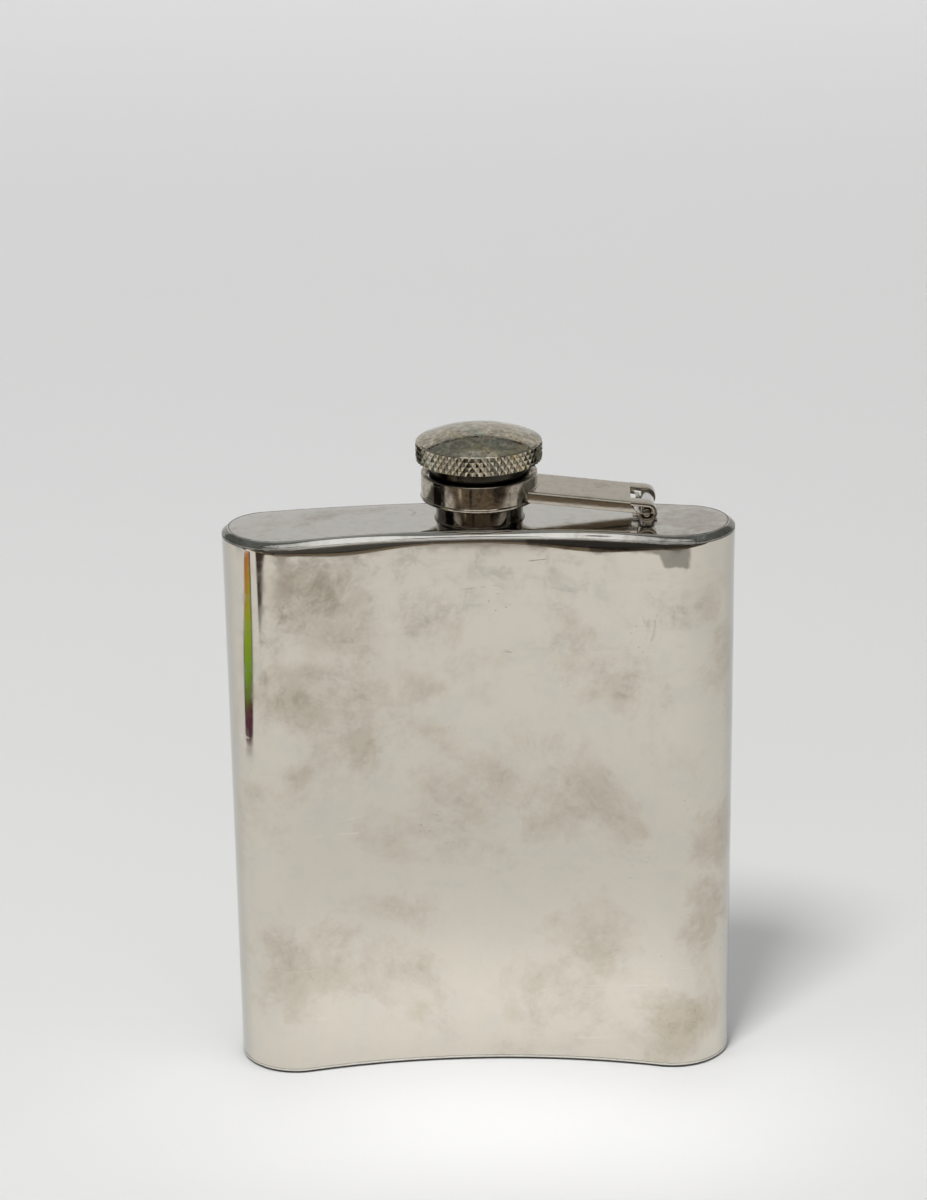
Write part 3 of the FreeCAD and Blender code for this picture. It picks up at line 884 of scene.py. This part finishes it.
def knurled_band(shape, bottom, top, radius, depth, count, tall, backing):
    """Diamond knurl: worn pyramids between two sets of crossing grooves, cut off at both ends.

    count diamonds go round and each is tall high; backing is the radius of the inner face.
    """
    work = bmesh.new()
    worn = 0.05  # half the width of a pyramid's flat tip, as a share of the pyramid
    same_point = 0.002
    on_plane = 1e-5

    def corner(a, b, drop):
        angle = (a + b) / 2 / count * TURN
        height = (a - b) / 2 * tall + (bottom + top) / 2
        r = radius - drop
        return work.verts.new((r * math.cos(angle), r * math.sin(angle), height))

    rows = int((top - bottom) / tall) + 3
    for i in range(count):
        for j in range(-rows, rows + 1):
            a, b = i + (j + 1) // 2, i - j // 2
            low = [corner(a + u, b + v, depth) for u, v in ((0, 0), (1, 0), (1, 1), (0, 1))]
            high = [
                corner(a + 0.5 + u * worn, b + 0.5 + v * worn, 0)
                for u, v in ((-1, -1), (1, -1), (1, 1), (-1, 1))
            ]
            for k in range(4):
                work.faces.new((low[k], low[(k + 1) % 4], high[(k + 1) % 4], high[k]))
            work.faces.new(high)
    bmesh.ops.remove_doubles(work, verts=work.verts, dist=same_point)
    for height, side in ((bottom, -1), (top, 1)):
        everything = work.verts[:] + work.edges[:] + work.faces[:]
        bmesh.ops.bisect_plane(
            work, geom=everything, dist=on_plane, plane_co=(0, 0, height),
            plane_no=(0, 0, side), clear_outer=True,
        )
    border = [e for e in work.edges if e.is_boundary]
    made = bmesh.ops.extrude_edge_only(work, edges=border)
    for vertex in [v for v in made["geom"] if isinstance(v, bmesh.types.BMVert)]:
        away = math.hypot(vertex.co.x, vertex.co.y)
        vertex.co.x *= backing / away
        vertex.co.y *= backing / away
    loops = [e for e in work.edges if e.is_boundary]
    bmesh.ops.bridge_loops(work, edges=loops)
    work.verts.index_update()
    centre = Vector((NECK_X, NECK_Y, TOP))
    shape.add([v.co + centre for v in work.verts], [[v.index for v in f.verts] for f in work.faces])
    work.free()


def make_cap_shell():
    inner = 10.95
    shape = Shape()
    knurled_band(
        shape, bottom=11.46, top=14.78, radius=11.75, depth=0.33, count=56, tall=1.85, backing=11.0
    )
    dome_radius = 28.0
    dome_top = 17.3
    dome_edge = 11.10
    steps = 24
    dome = []
    for i in range(steps):
        r = dome_edge * (1 - i / steps)
        dome.append(Vector((r, dome_top - dome_radius + math.sqrt(dome_radius ** 2 - r ** 2))))
    crown = rounded([
        (inner, 14.45, 0), (inner, 14.62, 0), (11.5, 14.62, 0.05), (11.15, 14.99, 0),
    ], closed=False)
    shape.lathe([(NEAR_AXIS, 14.45), *crown, *dome, (NEAR_AXIS, dome_top)], 160)
    foot = rounded([
        (inner, 11.34, 0.05), (11.35, 11.34, 0.1), (11.5, 11.5, 0.05), (inner, 11.5, 0),
    ])
    shape.lathe(foot, 160)
    shape.piece("cap_knurled", "cap", ["cap_shell"], steel_cap, 24)


def make_cap_stem():
    bore_root = 7.4
    outside = 9.3
    groove = 8.7
    head = 10.9

    def radius_at(angle, radius, height):
        if radius != bore_root:
            return radius
        fade = smooth(6.15, 6.6, height) * smooth(9.6, 9.1, height)
        return radius - THREAD_DEPTH * thread_form(angle, height, 0.5) * fade

    shape = Shape()
    outline = [(NEAR_AXIS, 11.3), (bore_root, 11.3), (bore_root, 9.8)]
    outline += [(bore_root, 9.7 - i * 0.1) for i in range(36)]
    outline += rounded([
        (bore_root, 6.05, 0.12), (outside, 6.05, 0.3), (outside, 7.3, 0.05), (groove, 7.3, 0),
        (groove, 8.2, 0), (outside, 8.2, 0.05), (outside, 11.34, 0), (head, 11.34, 0),
        (head, 14.4, 0),
    ], closed=False)[1:]
    shape.lathe([*outline, (NEAR_AXIS, 14.4)], 144, radius_at)
    shape.piece("cap_thread", "cap", ["cap_stem"], steel_stem, 32)


def make_gasket():
    shape = Shape()
    outline = [(NEAR_AXIS, 9.8), (3.0, 9.8), (3.2, 9.9), (5.2, 9.9), (5.4, 9.8)]
    outline += rounded([(5.5, 9.8, 0), (6.9, 9.8, 0.25), (6.9, 11.28, 0)], closed=False)
    shape.lathe([*outline, (NEAR_AXIS, 11.28)], 96)
    shape.piece("cap_seal", "cap", ["cap_gasket"], gasket_material(), 40)


def finish_retaining_ring():
    """The split ring keeps its CAD mesh and gets its metal."""
    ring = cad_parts["retaining_ring"]
    ring.data.materials.clear()
    ring.data.materials.append(steel_knuckle)


make_wall()
make_top_plate()
make_base_plate()
make_neck()
make_bracket()
make_arm_channel()
make_arm_braze()
make_captive_ring()
make_pin()
make_cap_shell()
make_cap_stem()
make_gasket()
finish_retaining_ring()


# ---------------------------------------------------------------- stage, light and camera

def card(name, centre, facing, width, height, material, stands=False):
    """A flat studio card, seen only in reflections.

    It faces a point, or lies flat without one, and is upright where it stands.
    """
    mesh = bpy.data.meshes.new(name)
    w, h = width / 2, height / 2
    mesh.from_pydata([(-w, -h, 0), (w, -h, 0), (w, h, 0), (-w, h, 0)], [], [(0, 1, 2, 3)])
    mesh.materials.append(material)
    thing = bpy.data.objects.new(name, mesh)
    bpy.context.scene.collection.objects.link(thing)
    thing.location = centre
    if facing:
        look = Vector(facing) - Vector(centre)
        if stands:
            look.z = 0
        thing.rotation_mode = "QUATERNION"
        thing.rotation_quaternion = look.to_track_quat("Z", "Y")
    thing.visible_camera = False
    thing.visible_shadow = False
    thing.visible_diffuse = False
    return thing


def glow(name, colour, strength=1.0):
    """A material that only gives off light."""
    material = bpy.data.materials.new(name)
    material.use_nodes = True
    tree = material.node_tree
    tree.nodes.clear()
    emission = tree.nodes.new("ShaderNodeEmission")
    emission.inputs["Color"].default_value = (*colour, 1)
    emission.inputs["Strength"].default_value = strength
    output = tree.nodes.new("ShaderNodeOutputMaterial")
    tree.links.new(emission.outputs[0], output.inputs["Surface"])
    return material


def floor_patch(name, corners, level, material):
    """A flat shape lying on the floor, in millimetres; only its reflection shows."""
    patch = card(name, (0, 0, level * MM), None, 1, 1, material)
    patch.data.clear_geometry()
    patch.data.from_pydata([(x * MM, y * MM, 0) for x, y in corners], [], [range(len(corners))])


def streak_material():
    """Coloured paper: orange at its far end, then green, and dark purple at its near end."""
    material = glow("colour_card", (1, 1, 1))
    tree = material.node_tree
    place = tree.nodes.new("ShaderNodeTexCoord")
    split = tree.nodes.new("ShaderNodeSeparateXYZ")
    tree.links.new(place.outputs["Object"], split.inputs[0])
    along = tree.nodes.new("ShaderNodeMapRange")
    along.inputs["From Min"].default_value = -331 * MM
    along.inputs["From Max"].default_value = -199 * MM
    tree.links.new(split.outputs["X"], along.inputs["Value"])
    ramp = tree.nodes.new("ShaderNodeValToRGB")
    fill_ramp(ramp.color_ramp, [
        (0.0, (0.42, 0.10, 0.02)), (0.2, (0.55, 0.20, 0.03)), (0.32, (0.38, 0.42, 0.03)),
        (0.6, (0.20, 0.42, 0.02)), (0.74, (0.12, 0.24, 0.02)), (0.8, (0.12, 0.02, 0.06)),
        (1.0, (0.02, 0.005, 0.015)),
    ])
    tree.links.new(along.outputs[0], ramp.inputs["Fac"])
    emission = next(n for n in tree.nodes if n.type == "EMISSION")
    tree.links.new(ramp.outputs["Color"], emission.inputs["Color"])
    return material


def softbox(name, place, target, width, height, power, colour=(1, 1, 1)):
    """An area lamp aimed at a point; it lights the floor and isn't seen in the metal."""
    lamp = bpy.data.lights.new(name, "AREA")
    lamp.shape = "RECTANGLE"
    lamp.size = width
    lamp.size_y = height
    lamp.energy = power
    lamp.color = colour
    thing = bpy.data.objects.new(name, lamp)
    bpy.context.scene.collection.objects.link(thing)
    thing.location = place
    thing.rotation_mode = "QUATERNION"
    thing.rotation_quaternion = (Vector(target) - Vector(place)).to_track_quat("-Z", "Y")
    thing.visible_camera = False
    thing.visible_glossy = False


def make_floor():
    radius = 2.4
    sides = 96
    drop = 0.02 * MM
    turns = [TURN * i / sides for i in range(sides)]
    edge = [(radius * math.cos(t), radius * math.sin(t), 0) for t in turns]
    floor = bpy.data.meshes.new("floor")
    floor.from_pydata(edge, [], [range(sides)])
    floor.materials.append(floor_material())
    ground = bpy.data.objects.new("floor", floor)
    bpy.context.scene.collection.objects.link(ground)
    ground.location.z = -drop


def make_cards():
    """What the metal reflects: the lit room, the sheet's edge, and dark and coloured shapes."""
    card("back_card", (0, 1.6, 0.62), (0, 0, 0.62), 4.5, 1.24,
         glow("back_glow", (1.0, 0.99, 0.97), 0.60))
    card("ceiling_card", (0, 0.72, 1.6), None, 2.6, 2.36,
         glow("ceiling_glow", (0.95, 1.0, 0.98), 0.26))
    card("front_card", (0, -0.58, 1.05), (0, 0, 0.1), 1.1, 0.47,
         glow("front_glow", (1, 1, 1), 1.05))
    card("overhead_card", (0, 0.70, 1.58), None, 0.9, 0.50,
         glow("overhead_glow", (0.96, 0.98, 0.96), 0.55))

    dark = glow("dark_glow", (0.01, 0.008, 0.008))
    floor_patch(
        "streak_edge",
        [(-331, -90), (-316, -160), (-250, -112), (-202, -64), (-212, -4), (-270, -19)],
        0.4, glow("edge_glow", (0.07, 0.025, 0.03)),
    )
    floor_patch(
        "streak_card",
        [(-331, -98), (-320, -144), (-251, -102), (-199, -54), (-207, -12), (-270, -30)],
        0.8, streak_material(),
    )
    floor_patch(
        "second_streak",
        [(-217, -172), (-248, -188), (-330, -250), (-300, -400), (-172, -330), (-203, -230)],
        1.6, glow("second_glow", (0.045, 0.03, 0.025)),
    )
    sheet_edge, table_edge = -0.303, -0.95
    dark_depth = 5.0
    card("table_beyond", (0, (sheet_edge + table_edge) / 2, 0.6 * MM), None,
         3.0, sheet_edge - table_edge, glow("table_glow", (0.17, 0.135, 0.10)))
    card("dark_beyond", (0, table_edge - dark_depth / 2, 1.2 * MM), None, 12.0, dark_depth, dark)
    floor_patch("dark_right", [(220, -420), (450, -350), (620, -550), (360, -750)], 2.0, dark)
    floor_patch("dark_bar", [(-150, -400), (-118, -400), (-190, -800), (-270, -800)], 2.4, dark)
    floor_patch("bright_bar", [(-330, -400), (-300, -420), (-540, -760), (-640, -700)], 2.4,
                glow("bar_glow", (0.75, 0.66, 0.52)))

    card("front_room", (0, -2.7, 1.3), (0, 0, 1.3), 7.0, 2.6,
         glow("front_room_glow", (0.07, 0.068, 0.066)))
    card("upper_front", (0, -2.6, 1.42), (0, -2.0, 1.42), 3.0, 1.02,
         glow("upper_glow", (0.42, 0.40, 0.37)))
    side = glow("side_glow", (0.95, 1.0, 0.98), 0.2)
    card("left_side", (-1.3, 0.6, 0.8), (0, 0.6, 0.8), 2.0, 1.6, side)
    card("right_side", (1.3, 0.6, 0.8), (0, 0.6, 0.8), 2.0, 1.6, side)
    card("left_panel", (-0.80, -0.52, 0.50), (0, 0, 0.12), 0.7, 0.45,
         glow("panel_glow", (1, 0.98, 0.95), 0.5))
    card("dark_left", (-0.36, -0.03, 0.15), (0, -0.03, 0.15), 0.2, 0.3, dark, stands=True)


def make_lamps():
    """The key light throws the shadow, two small lamps the pools, and washes light the floor.

    Each lamp has its place, the point it faces, its width and height in metres, and its watts.
    """
    softbox("key", (-0.24, -0.54, 1.21), (0, 0, 0.05), 0.3, 0.3, 9.7, (1.0, 0.99, 0.97))
    softbox("pool_left", (-0.01, -0.03, 0.05), (-0.01, -0.03, 0), 0.06, 0.02, 0.011)
    softbox("pool_right", (0.035, -0.035, 0.04), (0.035, -0.035, 0), 0.03, 0.02, 0.0032)
    softbox("back_wash", (0, 1.5, 1.1), (0, 1.5, 0), 3, 0.6, 9.4)
    softbox("far_wash", (0, 2.0, 1.7), (0, 1.3, 0), 3, 0.6, 14.0)
    softbox("front_wash", (0, -1.7, 1.1), (0, -1.7, 0), 3, 0.6, 10.0)
    softbox("right_wash", (1.7, 0, 1.1), (1.7, 0, 0), 0.6, 2.4, 9.8)
    softbox("left_wash", (-1.7, 0, 1.1), (-1.7, 0, 0), 0.6, 2.4, 9.4)
    softbox("overhead", (0, -0.2, 2.4), (0, -0.2, 0), 2, 2, 6.3)


def make_world():
    """A plain grey background that only the camera sees."""
    grey = 0.66
    world = bpy.data.worlds.new("room")
    bpy.context.scene.world = world
    world.use_nodes = True
    background = world.node_tree.nodes["Background"]
    background.inputs["Color"].default_value = (grey, grey, grey, 1)
    background.inputs["Strength"].default_value = 1.0
    world.cycles_visibility.diffuse = False
    world.cycles_visibility.glossy = False
    world.cycles_visibility.transmission = False


def make_camera():
    azimuth, elevation, roll = math.radians(-0.06), math.radians(20.10), math.radians(-0.90)
    target = Vector((-2.96, 2.10, 91.24)) * MM
    distance = 614.9 * MM
    ahead = Vector((
        math.sin(azimuth) * math.cos(elevation), math.cos(azimuth) * math.cos(elevation),
        -math.sin(elevation),
    ))
    right = Vector((math.cos(azimuth), -math.sin(azimuth), 0))
    up = right.cross(ahead)
    right, up = (math.cos(roll) * right + math.sin(roll) * up,
                 math.cos(roll) * up - math.sin(roll) * right)
    lens = bpy.data.cameras.new("camera")
    lens.sensor_width = 36
    lens.lens = 98.2
    lens.clip_start = 0.05
    lens.clip_end = 30
    camera = bpy.data.objects.new("camera", lens)
    bpy.context.scene.collection.objects.link(camera)
    turned = Matrix((right, up, -ahead)).transposed().to_4x4()
    camera.matrix_world = Matrix.Translation(target - ahead * distance) @ turned
    bpy.context.scene.camera = camera


make_floor()
make_cards()
make_lamps()
make_world()
make_camera()
bpy.context.scene.view_settings.view_transform = "Standard"
